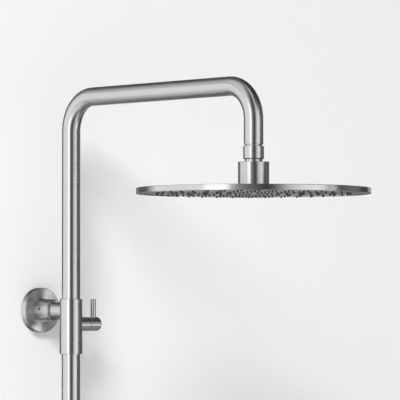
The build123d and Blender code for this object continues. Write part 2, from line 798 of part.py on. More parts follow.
def handle_grip(side):
    """A round handle with a rounded end, hollow over the cartridge's nose and bored for the spindle."""
    grip = rod(BAR_R, HANDLE_GAP, HANDLE_GAP + HANDLE_LENGTH)
    grip = fillet(circles_at(grip, HANDLE_GAP + HANDLE_LENGTH, BAR_R), HANDLE_ROUND)
    grip = chamfer(circles_at(grip, HANDLE_GAP, BAR_R), HANDLE_CHAMFER)
    floor = HANDLE_GAP + HANDLE_CAVITY
    grip -= rod(HANDLE_CAVITY_D / 2, HANDLE_GAP, floor)
    grip -= Pos(0, 0, floor) * extrude(splined(SPINDLE_D, SPINDLE_SPLINES, SEAT_GAP), HANDLE_GRIP)
    return end_place(side) * grip


def handle_pin_place(side):
    """Where a handle's lever stands: upright on the handle, centred on its axis."""
    return MIXER * Pos(side * (BAR_LENGTH / 2 + HANDLE_GAP + HANDLE_PIN_AT), 0, 0)


def handle(side):
    """A handle with the hole for its lever."""
    hole = lever_hole(SPINDLE_D / 2, BAR_R, LEVER_THREAD_D, HANDLE_PIN_D)
    return handle_grip(side) - handle_pin_place(side) * hole


def handle_lever(side):
    """The lever in a mixer handle."""
    pin = lever(SPINDLE_D / 2, BAR_R, LEVER_THREAD_D, HANDLE_PIN_D, HANDLE_PIN_REACH)
    return handle_pin_place(side) * pin


def button_place():
    """The safety button's axis: out of the temperature handle towards the room."""
    return handle_pin_place(1) * TO_ROOM


def button_levels():
    """Heights above the handle's axis: bush top, bush foot, button flange foot and pocket floor."""
    bush_top = BAR_R - BUTTON_SINK
    bush_foot = bush_top - BUTTON_BUSH
    flange_foot = bush_foot - RUN_GAP - BUTTON_FLANGE
    floor = flange_foot - BUTTON_TRAVEL - RUN_GAP
    return bush_top, bush_foot, flange_foot, floor


def temperature_handle():
    """The right handle, with the pocket for the safety button."""
    floor = button_levels()[3]
    return handle(1) - button_place() * rod(BUTTON_BUSH_D / 2 + SEAT_GAP, floor, BAR_R)


def button_bush():
    """The ring pressed into the handle that keeps the button in."""
    bush_top, bush_foot = button_levels()[:2]
    return button_place() * ring(BUTTON_BUSH_D / 2, BUTTON_D / 2 + RUN_GAP, bush_foot, bush_top)


def safety_button():
    """The button that has to be pressed before the water can be set hotter than 38 degrees."""
    bush_foot, flange_foot = button_levels()[1:3]
    top = BAR_R + BUTTON_PROUD
    button = chamfer(circles_at(rod(BUTTON_D / 2, flange_foot, top), top, BUTTON_D / 2), BUTTON_CHAMFER)
    button += rod(BUTTON_FLANGE_D / 2, flange_foot, bush_foot - RUN_GAP)
    return button_place() * button


def hose_nipple():
    """The threaded outlet under the bar for a hand shower's hose."""
    place = MIXER * Pos(HOSE_PORT_X, 0, 0) * Rot(180, 0, 0)
    thread_r = HALF_INCH_D / 2
    flange_r = HOSE_FLANGE_D / 2
    flange_top = BOSS_FACE + HOSE_FLANGE
    thread_top = flange_top + HOSE_THREAD
    nipple = turned(
        [
            (HOSE_BORE_D / 2, BOSS_FACE - NIPPLE_ROOT + SEAT_GAP),
            (thread_r, BOSS_FACE - NIPPLE_ROOT + SEAT_GAP),
            (thread_r, BOSS_FACE),
            (flange_r, BOSS_FACE),
            (flange_r, flange_top - HOSE_FLANGE_CHAMFER),
            (flange_r - HOSE_FLANGE_CHAMFER, flange_top),
            (thread_r, flange_top),
            (thread_r, thread_top),
            (HOSE_BORE_D / 2, thread_top),
        ]
    )
    return place * nipple


# Union between the mixer and the lower tube


def riser_nipple():
    """The nipple in the mixer's top boss."""
    root = MIXER_Z + BOSS_FACE
    thread_r = HALF_INCH_D / 2
    bore_r = NIPPLE_BORE_D / 2
    return RISER * turned(
        [
            (bore_r, root - NIPPLE_ROOT + SEAT_GAP),
            (thread_r, root - NIPPLE_ROOT + SEAT_GAP),
            (thread_r, root),
            (UNION_THREAD_D / 2, root),
            (UNION_THREAD_D / 2, root + NIPPLE_HEIGHT),
            (bore_r, root + NIPPLE_HEIGHT),
        ]
    )


def riser_washer():
    """The flat washer between the nipple and the tube's tail."""
    return RISER * ring(UNION_THREAD_D / 2 - SEAT_GAP, NIPPLE_BORE_D / 2, TAIL_FOOT - WASHER, TAIL_FOOT)


def riser_tail():
    """The flanged bush brazed into the lower tube's foot."""
    flange_r = UNION_THREAD_D / 2 - SEAT_GAP
    plug_r = TUBE_BORE_R - SEAT_GAP
    bore_r = NIPPLE_BORE_D / 2
    return RISER * turned(
        [
            (bore_r, TAIL_FOOT),
            (flange_r, TAIL_FOOT),
            (flange_r, LOWER_TUBE_FOOT),
            (plug_r, LOWER_TUBE_FOOT),
            (plug_r, LOWER_TUBE_FOOT + TAIL_PLUG),
            (bore_r, LOWER_TUBE_FOOT + TAIL_PLUG),
        ]
    )


def riser_nut():
    """The round union nut, with its lip over the tail's flange."""
    foot = MIXER_Z + BOSS_FACE + RUN_GAP
    lip_foot = LOWER_TUBE_FOOT + SEAT_GAP
    top = lip_foot + UNION_LIP
    outer_r = UNION_NUT_D / 2
    thread_r = UNION_THREAD_D / 2 + SEAT_GAP
    return RISER * turned(
        [
            (thread_r, foot),
            (outer_r - BAR_CHAMFER, foot),
            (outer_r, foot + BAR_CHAMFER),
            (outer_r, top - BOSS_CHAMFER),
            (outer_r - BOSS_CHAMFER, top),
            (TUBE_R + SEAT_GAP, top),
            (TUBE_R + SEAT_GAP, lip_foot),
            (thread_r, lip_foot),
        ]
    )


# Wall unions, drawn with Z as the distance from the wall


def inlet_levels():
    """Distances from the wall: boss face, tail flange top and foot, and the eccentric union's end."""
    boss_face = RISER_REACH - BOSS_FACE
    nut_end = boss_face - RUN_GAP - INLET_NUT
    union_end = nut_end + UNION_IN_NUT
    flange_foot = union_end + WASHER
    return boss_face, flange_foot + TAIL_FLANGE, flange_foot, union_end


def inlet_place(side):
    """An inlet's axis on the wall, with Z pointing into the room."""
    return Pos(side * INLET_SPACING / 2, 0, MIXER_Z) * TO_ROOM


def inlet_tail(side):
    """The flanged tube in the bar's boss, which the nut pulls to the wall union."""
    boss_face, flange_top, flange_foot, _ = inlet_levels()
    tail_r = INLET_TAIL_D / 2
    bore_r = CHECK_VALVE_D / 2 + SEAT_GAP
    return inlet_place(side) * turned(
        [
            (bore_r, flange_foot),
            (INLET_TAIL_FLANGE_D / 2, flange_foot),
            (INLET_TAIL_FLANGE_D / 2, flange_top),
            (tail_r, flange_top),
            (tail_r, boss_face + INLET_TAIL_ROOT - SEAT_GAP),
            (bore_r, boss_face + INLET_TAIL_ROOT - SEAT_GAP),
        ]
    )


def check_valve(side):
    """The non-return valve in the inlet tail."""
    foot = inlet_levels()[2]
    return inlet_place(side) * ring(CHECK_VALVE_D / 2, CHECK_VALVE_BORE_D / 2, foot, foot + CHECK_VALVE)


def inlet_washer(side):
    """The flat washer between the tail and the wall union."""
    union_end = inlet_levels()[3]
    washer = ring(INLET_TAIL_FLANGE_D / 2, UNION_BORE_D / 2, union_end, union_end + WASHER)
    return inlet_place(side) * washer


def inlet_nut(side):
    """The hexagonal union nut, with rounded corners and its lip behind the tail's flange."""
    boss_face, flange_top = inlet_levels()[:2]
    top = boss_face - RUN_GAP
    foot = top - INLET_NUT
    flat_r = INLET_NUT_FLATS / 2
    corner_r = flat_r / math.cos(math.pi / 6)
    slope = (corner_r - flat_r) * math.tan(math.radians(NUT_CORNER_ANGLE))
    blank = extrude(Pos(0, 0, foot) * RegularPolygon(flat_r, 6, major_radius=False), INLET_NUT)
    blank &= turned(
        [
            (0, foot),
            (flat_r, foot),
            (corner_r, foot + slope),
            (corner_r, top - slope),
            (flat_r, top),
            (0, top),
        ]
    )
    blank -= rod(THREE_QUARTER_D / 2 + SEAT_GAP, foot, flange_top + SEAT_GAP)
    blank -= rod(INLET_TAIL_D / 2 + SEAT_GAP, foot, top)
    return inlet_place(side) * blank


def eccentric_union(side):
    """The union from the wall's pipe to the nut, whose two ends are offset from each other."""
    union_end = inlet_levels()[3]
    body_foot = WALL_PLATE
    body_top = inlet_levels()[0] - RUN_GAP - INLET_NUT - RUN_GAP
    offset = Pos(0, ECCENTRIC_OFFSET, 0)
    body = rod(ECCENTRIC_D / 2, body_foot, body_top)
    body = chamfer(circles_at(body, body_top, ECCENTRIC_D / 2), ECCENTRIC_CHAMFER)
    union = body + rod(THREE_QUARTER_D / 2, body_top, union_end)
    union += offset * rod(HALF_INCH_D / 2, -WALL_THREAD, body_foot)
    middle = (body_foot + body_top) / 2
    union -= rod(UNION_BORE_D / 2, middle, union_end)
    union -= offset * rod(UNION_BORE_D / 2, -WALL_THREAD, middle)
    return inlet_place(side) * union


def mixer_rosette(side):
    """The cover round a wall union."""
    return inlet_place(side) * rosette(ECCENTRIC_D / 2 + RUN_GAP)


def pieces():
    """Every node's name and solid."""
    whole = {
        "riser_arm_tube": riser_arm_tube(),
        "lower_tube": lower_tube(),
        "arm_insert": arm_insert(),
        "joint_washer": joint_washer(),
        "ball_collar": ball_collar(),
        "ball_stud": ball_stud(),
        "ball_liner": ball_liner(),
        "ball_seal": ball_seal(),
        "hub": hub(),
        "head_spigot": head_spigot(),
        "flow_regulator": flow_regulator(),
        "head_shell": head_shell(),
        "nozzle_plate": nozzle_plate(),
        "nozzle_mat": nozzle_mat(),
        "head_gasket": head_gasket(),
        "wall_plate": wall_plate(),
        "wall_rosette": wall_rosette(),
        "rosette_ring": rosette_ring(),
        "bracket_boss": bracket_boss(),
        "boss_grub_screw": boss_grub_screw(),
        "bracket_arm": bracket_arm(),
        "valve_body": valve_body(),
        "tube_seals": tube_seals(),
        "valve_neck": valve_neck(),
        "valve_cartridge": valve_cartridge(),
        "valve_rotor": valve_rotor(),
        "valve_knob": valve_knob(),
        "valve_lever": valve_lever(),
        "mixer_body": mixer_body(),
        "thermostatic_cartridge": cartridge(1),
        "temperature_spindle": spindle(1),
        "stop_ring": stop_ring(),
        "temperature_handle": temperature_handle(),
        "temperature_lever": handle_lever(1),
        "button_bush": button_bush(),
        "safety_button": safety_button(),
        "flow_cartridge": cartridge(-1),
        "flow_spindle": spindle(-1),
        "flow_handle": handle(-1),
        "flow_lever": handle_lever(-1),
        "hose_nipple": hose_nipple(),
        "riser_nipple": riser_nipple(),
        "riser_washer": riser_washer(),
        "riser_tail": riser_tail(),
        "riser_nut": riser_nut(),
    }
    for name, side in (("left", -1), ("right", 1)):
        whole[f"inlet_tail_{name}"] = inlet_tail(side)
        whole[f"check_valve_{name}"] = check_valve(side)
        whole[f"inlet_washer_{name}"] = inlet_washer(side)
        whole[f"inlet_nut_{name}"] = inlet_nut(side)
        whole[f"eccentric_union_{name}"] = eccentric_union(side)
        whole[f"mixer_rosette_{name}"] = mixer_rosette(side)
    return whole


os.makedirs("parts", exist_ok=True)
for node, solid in pieces().items():
    export_step(solid, f"parts/{node}.step")
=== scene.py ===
import json
import math

import bmesh
import bpy
from mathutils import Matrix, Vector


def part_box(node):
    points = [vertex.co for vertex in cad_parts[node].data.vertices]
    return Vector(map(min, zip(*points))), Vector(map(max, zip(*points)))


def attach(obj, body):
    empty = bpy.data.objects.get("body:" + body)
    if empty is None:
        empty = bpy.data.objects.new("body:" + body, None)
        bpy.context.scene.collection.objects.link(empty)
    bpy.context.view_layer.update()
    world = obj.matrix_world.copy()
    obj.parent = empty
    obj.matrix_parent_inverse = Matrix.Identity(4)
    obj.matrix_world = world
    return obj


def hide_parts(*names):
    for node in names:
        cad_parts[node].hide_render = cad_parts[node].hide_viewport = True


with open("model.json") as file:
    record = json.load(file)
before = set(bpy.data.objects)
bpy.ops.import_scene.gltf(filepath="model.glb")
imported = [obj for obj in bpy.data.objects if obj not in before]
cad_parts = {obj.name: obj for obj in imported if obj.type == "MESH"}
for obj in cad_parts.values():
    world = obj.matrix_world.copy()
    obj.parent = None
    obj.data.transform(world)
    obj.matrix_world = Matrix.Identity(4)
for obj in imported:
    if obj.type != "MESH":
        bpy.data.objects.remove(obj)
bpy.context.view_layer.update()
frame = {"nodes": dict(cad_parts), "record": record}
nodes = frame["nodes"]

MM = 0.001

# Places in millimetres: the wall is y = 0, the room lies towards -Y and the upper bracket is the origin.
RISER_Y = -70.8
HEAD_Y = -436.8
ARM_Z = 290.0
BEND_RADIUS = 45.0
VALVE_Z = -18.7
VALVE_LEVER_X = 39.4
MIXER_Z = -780.0
INLET_X = 75.0
HANDLE_LEVER_X = 118.8
HOSE_X = -60.0

ALONG_X = (1.0, 0.0, 0.0)
ALONG_Y = (0.0, 1.0, 0.0)
ALONG_Z = (0.0, 0.0, 1.0)
TURN_Z_TO = {ALONG_X: (0.0, math.pi / 2, 0.0), ALONG_Y: (math.pi / 2, 0.0, 0.0), ALONG_Z: (0.0, 0.0, 0.0)}


def metres(x, y, z):
    """A point given in millimetres, in metres."""
    return Vector((x, y, z)) * MM


# Materials

# The brushed lines, in millimetres: their distance and depth, and the size of the broad clouds of shade.
LINE_GAP = 0.6
LINE_DEPTH = 0.03
CLOUD = 22.0
# How fast the lines change along themselves: per radian round a piece, and in millimetres on the bent tube.
CHANGE_PER_RADIAN = 1.4
TUBE_CHANGE = 12.0
# The lines' share of the shade. The clouds give the rest.
LINE_SHARE = 0.6
# The anisotropic rotation that draws reflections out across the tangent. None draws them out along it.
QUARTER_TURN = 0.25


def linear(colour):
    """An sRGB hex colour as linear RGBA."""
    channels = [int(colour[i : i + 2], 16) / 255 for i in (0, 2, 4)]
    return [c / 12.92 if c <= 0.04045 else ((c + 0.055) / 1.055) ** 2.4 for c in channels] + [1.0]


def add(tree, kind, inputs=None, **settings):
    """Adds a node with its settings. An input that is given a socket is linked, and any other is set."""
    node = tree.nodes.new(kind)
    for name, value in settings.items():
        setattr(node, name, value)
    for place, source in (inputs or {}).items():
        if isinstance(source, bpy.types.NodeSocket):
            tree.links.new(source, node.inputs[place])
        else:
            node.inputs[place].default_value = source
    return node


def calculate(tree, operation, *values):
    """The result of a Math node."""
    return add(tree, "ShaderNodeMath", dict(enumerate(values)), operation=operation).outputs[0]


def calculate_vector(tree, operation, *values):
    """The result of a Vector Math node, which is a number for a length or a dot product."""
    node = add(tree, "ShaderNodeVectorMath", dict(enumerate(values)), operation=operation)
    return node.outputs["Value" if operation in ("LENGTH", "DOT_PRODUCT") else "Vector"]


def new_material(name):
    """An empty node material and its tree."""
    material = bpy.data.materials.new(name)
    material.use_nodes = True
    material.node_tree.nodes.clear()
    return material, material.node_tree


def brushed_look(tree, place, grain, tangent_way, turned_by):
    """The look of brushed steel, from the place in its fine lines and a direction on its surface."""
    # Stainless steel, satin brushed with 240 grit round the piece: fine rings that draw each reflection out
    # along the piece, and on a flat end into two opposite wedges. Real lines are 0.1 mm apart, and are drawn
    # further apart so that they show at all.
    rings = {"Vector": grain, "Scale": 1.0, "Detail": 3.0, "Roughness": 0.6}
    fine = add(tree, "ShaderNodeTexNoise", rings).outputs[0]
    clouds = {"Vector": place, "Scale": 1 / (CLOUD * MM), "Detail": 2.0}
    broad = add(tree, "ShaderNodeTexNoise", clouds).outputs[0]
    fine_share = calculate(tree, "MULTIPLY", fine, LINE_SHARE)
    both = calculate(tree, "MULTIPLY_ADD", broad, 1 - LINE_SHARE, fine_share)
    shades = {"Factor": both, "A": linear("CDCDCB"), "B": linear("DDDDDB")}
    colour = add(tree, "ShaderNodeMix", shades, data_type="RGBA").outputs["Result"]
    roughness = add(tree, "ShaderNodeMapRange", {"Value": broad, "To Min": 0.22, "To Max": 0.3}).outputs[0]
    relief = {"Height": fine, "Strength": 0.05, "Distance": LINE_DEPTH * MM}
    bump = add(tree, "ShaderNodeBump", relief).outputs[0]
    to_world = {"vector_type": "VECTOR", "convert_from": "OBJECT", "convert_to": "WORLD"}
    tangent = add(tree, "ShaderNodeVectorTransform", {0: tangent_way}, **to_world).outputs[0]
    looks = {
        "Base Color": colour,
        "Metallic": 1.0,
        "Roughness": roughness,
        "Anisotropic": 0.9,
        "Anisotropic Rotation": turned_by,
        "Normal": bump,
        "Tangent": tangent,
    }
    shader = add(tree, "ShaderNodeBsdfPrincipled", looks).outputs[0]
    add(tree, "ShaderNodeOutputMaterial", {0: shader})


def brushed_steel(name, axis, centre):
    """Stainless steel turned and brushed round a straight axis."""
    material, tree = new_material(name)
    place = add(tree, "ShaderNodeTexCoord").outputs["Object"]
    centre = tuple(metres(*centre))
    mapping = {"Vector": place, "Location": centre, "Rotation": TURN_Z_TO[axis]}
    about = add(tree, "ShaderNodeMapping", mapping, vector_type="TEXTURE").outputs[0]
    xyz = add(tree, "ShaderNodeSeparateXYZ", {0: about}).outputs
    radius = calculate_vector(tree, "LENGTH", calculate_vector(tree, "MULTIPLY", about, (1.0, 1.0, 0.0)))
    angle = calculate(tree, "ARCTAN2", xyz["Y"], xyz["X"])
    ring = add(tree, "ShaderNodeCombineXYZ", {0: radius, 1: xyz["Z"]}).outputs[0]
    closer = {0: ring, "Scale": 1 / (LINE_GAP * MM)}
    lines = add(tree, "ShaderNodeVectorMath", closer, operation="SCALE").outputs[0]
    turn = calculate(tree, "MULTIPLY", angle, CHANGE_PER_RADIAN)
    shift = add(tree, "ShaderNodeCombineXYZ", {2: turn}).outputs[0]
    grain = calculate_vector(tree, "ADD", lines, shift)
    arm = calculate_vector(tree, "SUBTRACT", place, centre)
    round_way = calculate_vector(tree, "CROSS_PRODUCT", axis, arm)
    brushed_look(tree, place, grain, round_way, QUARTER_TURN)
    return material


def brushed_tube(name):
    """The same steel on the bent tube, where the axis follows the two bends."""
    material, tree = new_material(name)
    place = add(tree, "ShaderNodeTexCoord").outputs["Object"]
    xyz = add(tree, "ShaderNodeSeparateXYZ", {0: place}).outputs
    first = (RISER_Y - BEND_RADIUS) * MM
    second = (HEAD_Y + BEND_RADIUS) * MM
    level = (ARM_Z - BEND_RADIUS) * MM
    # How far a place lies beyond the arm's straight part, and above the bends' centres.
    near = calculate(tree, "MAXIMUM", calculate(tree, "SUBTRACT", xyz["Y"], first), 0.0)
    far = calculate(tree, "MINIMUM", calculate(tree, "SUBTRACT", xyz["Y"], second), 0.0)
    out = calculate(tree, "ADD", near, far)
    up = calculate(tree, "MAXIMUM", calculate(tree, "SUBTRACT", xyz["Z"], level), 0.0)
    spoke = add(tree, "ShaderNodeCombineXYZ", {1: out, 2: up}).outputs[0]
    along = calculate_vector(tree, "CROSS_PRODUCT", ALONG_X, spoke)
    # A length that changes evenly along the axis everywhere: in the riser, the bends, the arm and the drop.
    bend = calculate(tree, "ARCTAN2", up, calculate(tree, "ABSOLUTE", out))
    height = calculate(tree, "MINIMUM", xyz["Z"], level)
    run = calculate(tree, "MAXIMUM", calculate(tree, "MINIMUM", xyz["Y"], first), second)
    arc = calculate(tree, "MULTIPLY_ADD", bend, BEND_RADIUS * MM, height)
    length = calculate(tree, "SUBTRACT", arc, run)
    lines = calculate(tree, "MULTIPLY", length, 1 / (LINE_GAP * MM))
    across = calculate(tree, "MULTIPLY", xyz["X"], 1 / (TUBE_CHANGE * MM))
    grain = add(tree, "ShaderNodeCombineXYZ", {0: lines, 1: across}).outputs[0]
    brushed_look(tree, place, grain, along, 0.0)
    return material


def plain_finish(name, light, dark, smooth, rough, metallic, grain_mm, height_mm):
    """A finish with an even fine grain: two close colours, roughness and bump from one noise."""
    material, tree = new_material(name)
    place = add(tree, "ShaderNodeTexCoord").outputs["Object"]
    grain = {"Vector": place, "Scale": 1 / (grain_mm * MM), "Detail": 3.0}
    noise = add(tree, "ShaderNodeTexNoise", grain).outputs[0]
    shades = {"Factor": noise, "A": linear(dark), "B": linear(light)}
    colour = add(tree, "ShaderNodeMix", shades, data_type="RGBA").outputs["Result"]
    span = {"Value": noise, "To Min": smooth, "To Max": rough}
    roughness = add(tree, "ShaderNodeMapRange", span).outputs[0]
    relief = {"Height": noise, "Strength": 0.3, "Distance": height_mm * MM}
    bump = add(tree, "ShaderNodeBump", relief).outputs[0]
    looks = {"Base Color": colour, "Metallic": metallic, "Roughness": roughness, "Normal": bump}
    shader = add(tree, "ShaderNodeBsdfPrincipled", looks).outputs[0]
    add(tree, "ShaderNodeOutputMaterial", {0: shader})
    return material


column_steel = brushed_steel("steel_brushed_round_riser", ALONG_Z, (0, RISER_Y, 0))
head_steel = brushed_steel("steel_brushed_round_head", ALONG_Z, (0, HEAD_Y, 0))
bracket_steel = brushed_steel("steel_brushed_round_bracket", ALONG_Y, (0, 0, 0))
valve_steel = brushed_steel("steel_brushed_round_valve", ALONG_X, (0, RISER_Y, VALVE_Z))
valve_lever_steel = brushed_steel("steel_brushed_round_valve_lever", ALONG_Z, (VALVE_LEVER_X, RISER_Y, 0))
mixer_steel = brushed_steel("steel_brushed_round_mixer", ALONG_X, (0, RISER_Y, MIXER_Z))
right_lever_steel = brushed_steel("steel_brushed_round_right_lever", ALONG_Z, (HANDLE_LEVER_X, RISER_Y, 0))
left_lever_steel = brushed_steel("steel_brushed_round_left_lever", ALONG_Z, (-HANDLE_LEVER_X, RISER_Y, 0))
button_steel = brushed_steel("steel_brushed_round_button", ALONG_Y, (HANDLE_LEVER_X, 0, MIXER_Z))
hose_steel = brushed_steel("steel_brushed_round_outlet", ALONG_Z, (HOSE_X, RISER_Y, 0))
left_inlet_steel = brushed_steel("steel_brushed_round_left_inlet", ALONG_Y, (-INLET_X, 0, MIXER_Z))
right_inlet_steel = brushed_steel("steel_brushed_round_right_inlet", ALONG_Y, (INLET_X, 0, MIXER_Z))
tube_steel = brushed_tube("steel_brushed_round_bent_tube")
# Silicone, moulded: nearly black, dull, with a faint soft sheen.
nozzle_silicone = plain_finish("moulded_silicone", "3A3A3C", "2A2A2C", 0.45, 0.6, 0.0, 1.5, 0.05)
# Nitrile rubber, moulded: black and dull.
seal_rubber = plain_finish("moulded_nitrile_rubber", "232324", "18181A", 0.55, 0.7, 0.0, 1.5, 0.05)
# Acetal, moulded: milk white with a soft gloss.
white_acetal = plain_finish("moulded_acetal", "E6E4DC", "DAD8CF", 0.3, 0.42, 0.0, 2.0, 0.02)
# Brass, turned: warm yellow metal, still bright.
turned_brass = plain_finish("turned_brass", "D9BA6E", "C6A458", 0.25, 0.38, 1.0, 0.8, 0.02)
# Steel, blackened: the dark socket screw.
black_steel = plain_finish("blackened_steel", "A2A2A0", "8C8C8A", 0.35, 0.5, 1.0, 0.8, 0.03)
# Enamel, filled into engraved lines: near black with a soft gloss.
scale_enamel = plain_finish("filled_enamel", "242426", "1B1B1D", 0.3, 0.45, 0.0, 1.0, 0.01)

finishes = {
    "riser_arm_tube": tube_steel,
    "lower_tube": column_steel,
    "valve_body": column_steel,
    "riser_nut": column_steel,
    "arm_insert": head_steel,
    "ball_collar": head_steel,
    "ball_stud": head_steel,
    "hub": head_steel,
    "head_spigot": head_steel,
    "head_shell": head_steel,
    "nozzle_plate": head_steel,
    "wall_plate": bracket_steel,
    "wall_rosette": bracket_steel,
    "bracket_boss": bracket_steel,
    "bracket_arm": bracket_steel,
    "valve_neck": valve_steel,
    "valve_knob": valve_steel,
    "valve_lever": valve_lever_steel,
    "mixer_body": mixer_steel,
    "temperature_handle": mixer_steel,
    "flow_handle": mixer_steel,
    "temperature_lever": right_lever_steel,
    "flow_lever": left_lever_steel,
    "button_bush": button_steel,
    "safety_button": button_steel,
    "hose_nipple": hose_steel,
    "inlet_nut_left": left_inlet_steel,
    "eccentric_union_left": left_inlet_steel,
    "mixer_rosette_left": left_inlet_steel,
    "inlet_nut_right": right_inlet_steel,
    "eccentric_union_right": right_inlet_steel,
    "mixer_rosette_right": right_inlet_steel,
    "boss_grub_screw": black_steel,
    "nozzle_mat": nozzle_silicone,
}
by_slot = {"seal_rubber": seal_rubber, "white_plastic": white_acetal, "brass": turned_brass}
for part in frame["record"]["subparts"]:
    name = part["node"]
    finish = finishes.get(name) or by_slot[part["material_slot"]]
    for place in nodes[name].material_slots:
        place.material = finish


# Pieces with more detail than the solids

ROUND_STEPS = 96
MERGE_DISTANCE = 0.001
SHARP_ANGLE = math.radians(35)


def put(shape, before, place):
    """Moves everything that was added to a bmesh since a set of its vertices was taken."""
    bmesh.ops.transform(shape, matrix=place, verts=list(set(shape.verts) - before))


def outline(shape, corners):
    """Adds the vertices of an outline from (radius, height) corners in millimetres."""
    return [shape.verts.new(metres(radius, 0, height)) for radius, height in corners]


def turned(shape, corners, steps, place):
    """Adds a closed solid turned about Z."""
    before = set(shape.verts)
    points = outline(shape, corners)
    edges = [shape.edges.new(pair) for pair in zip(points, points[1:] + points[:1])]
    full = {"cent": (0, 0, 0), "axis": ALONG_Z, "angle": 2 * math.pi, "steps": steps, "use_merge": True}
    bmesh.ops.spin(shape, geom=points + edges, **full)
    put(shape, before, place)


def swept(shape, corners, angle, steps, rise, place):
    """Adds a solid swept from a closed outline through an angle about Z, closed at both ends."""
    before = set(shape.verts)
    start = shape.faces.new(outline(shape, corners))
    copied = bmesh.ops.duplicate(shape, geom=[start])["geom"]
    moving = [part for part in copied if isinstance(part, bmesh.types.BMFace)]
    way = {"cent": (0, 0, 0), "axis": ALONG_Z, "dvec": (0, 0, rise / steps), "angle": angle, "steps": steps}
    bmesh.ops.spin(shape, geom=moving, **way)
    put(shape, before, place)


def finished(name, shape, material, body):
    """Turns a bmesh into a smooth-shaded piece with sharp corners, which rides on a body."""
    bmesh.ops.remove_doubles(shape, verts=shape.verts, dist=MERGE_DISTANCE * MM)
    bmesh.ops.recalc_face_normals(shape, faces=shape.faces)
    for face in shape.faces:
        face.smooth = True
    for edge in shape.edges:
        edge.smooth = edge.is_manifold and edge.calc_face_angle() < SHARP_ANGLE
    mesh = bpy.data.meshes.new(name)
    shape.to_mesh(mesh)
    shape.free()
    piece = bpy.data.objects.new(name, mesh)
    piece.data.materials.append(material)
    bpy.context.scene.collection.objects.link(piece)
    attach(piece, body)
    return piece


# Nozzles, in millimetres: round silicone tapers with a bead against the plate, a flat tip and a bore.
NOZZLE_REACH = 2.6
NOZZLE_PLATE = 1.0
NOZZLE_RINGS = 6
NOZZLE_FIRST_RING = 24.0
NOZZLE_PITCH = 20.0
NOZZLES_PER_RING_STEP = 6
NOZZLE_BORE_R = 0.5
NOZZLE_BORE_DEPTH = 1.2
NOZZLE_TIP_R = 0.9
NOZZLE_FOOT_R = 1.4
NOZZLE_BEAD_R = 1.85
NOZZLE_BEAD_HEIGHT = 0.2
NOZZLE_BEAD_SLOPE = 0.3
NOZZLE_NECK_R = 1.5
NOZZLE_SINK = 0.1
NOZZLE_STEPS = 8
mat_low, mat_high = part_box("nozzle_mat")
tip_z = mat_low[2] / MM
mat_top = mat_high[2] / MM
mat_r = (mat_high[0] - mat_low[0]) / 2 / MM
plate_foot = tip_z + NOZZLE_REACH
plate_top = plate_foot + NOZZLE_PLATE
bead_foot = plate_foot - NOZZLE_BEAD_HEIGHT
nozzle_outline = [
    (0, tip_z + NOZZLE_BORE_DEPTH),
    (NOZZLE_BORE_R, tip_z + NOZZLE_BORE_DEPTH),
    (NOZZLE_BORE_R, tip_z),
    (NOZZLE_TIP_R, tip_z),
    (NOZZLE_FOOT_R, bead_foot - NOZZLE_BEAD_SLOPE),
    (NOZZLE_BEAD_R, bead_foot),
    (NOZZLE_BEAD_R, plate_foot),
    (NOZZLE_NECK_R, plate_foot),
    (NOZZLE_NECK_R, plate_top + NOZZLE_SINK),
    (0, plate_top + NOZZLE_SINK),
]
sheet_outline = [(0, plate_top), (mat_r, plate_top), (mat_r, mat_top), (0, mat_top)]
shape = bmesh.new()
turned(shape, sheet_outline, ROUND_STEPS, Matrix.Translation(metres(0, HEAD_Y, 0)))
for ring_number in range(NOZZLE_RINGS):
    ring_r = NOZZLE_FIRST_RING + ring_number * NOZZLE_PITCH
    count = NOZZLES_PER_RING_STEP * (ring_number + 1)
    for number in range(count):
        turn = 2 * math.pi * number / count
        x, y = ring_r * math.cos(turn), HEAD_Y + ring_r * math.sin(turn)
        turned(shape, nozzle_outline, NOZZLE_STEPS, Matrix.Translation(metres(x, y, 0)))
nozzles = finished("nozzles", shape, nozzle_silicone, "head")
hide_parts("nozzle_mat")

# Hose outlet, in millimetres: a half-inch pipe thread, 14 turns to the inch, under the flange.
THREAD_PITCH = 25.4 / 14
THREAD_DEPTH = 1.16
THREAD_R = 20.955 / 2
THREAD_ROOT_R = THREAD_R - THREAD_DEPTH
THREAD_LENGTH = 12.0
THREAD_START = 1.3
THREAD_TURNS = 5.5
THREAD_STEPS_PER_TURN = 36
RIDGE_HALF_FOOT = 0.46 * THREAD_PITCH
RIDGE_HALF_CREST = 0.08 * THREAD_PITCH
RIDGE_SINK = 0.3
OUTLET_BORE_R = 6.0
OUTLET_FLANGE_R = 13.5
OUTLET_FLANGE_HEIGHT = 3.0
OUTLET_PLUG_R = 10.4
OUTLET_CHAMFER = 0.4
low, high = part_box("hose_nipple")
outlet_foot = low[2] / MM
outlet_top = high[2] / MM
thread_top = outlet_foot + THREAD_LENGTH
flange_top = thread_top + OUTLET_FLANGE_HEIGHT
ridge = [
    (THREAD_ROOT_R - RIDGE_SINK, -THREAD_PITCH / 2),
    (THREAD_ROOT_R, -RIDGE_HALF_FOOT),
    (THREAD_R, -RIDGE_HALF_CREST),
    (THREAD_R, RIDGE_HALF_CREST),
    (THREAD_ROOT_R, RIDGE_HALF_FOOT),
    (THREAD_ROOT_R - RIDGE_SINK, THREAD_PITCH / 2),
]
outlet_outline = [
    (OUTLET_BORE_R, outlet_foot),
    (THREAD_ROOT_R - OUTLET_CHAMFER, outlet_foot),
    (THREAD_ROOT_R, outlet_foot + OUTLET_CHAMFER),
    (THREAD_ROOT_R, thread_top),
    (OUTLET_FLANGE_R - OUTLET_CHAMFER, thread_top),
    (OUTLET_FLANGE_R, thread_top + OUTLET_CHAMFER),
    (OUTLET_FLANGE_R, flange_top),
    (OUTLET_PLUG_R, flange_top),
    (OUTLET_PLUG_R, outlet_top),
    (OUTLET_BORE_R, outlet_top),
]
shape = bmesh.new()
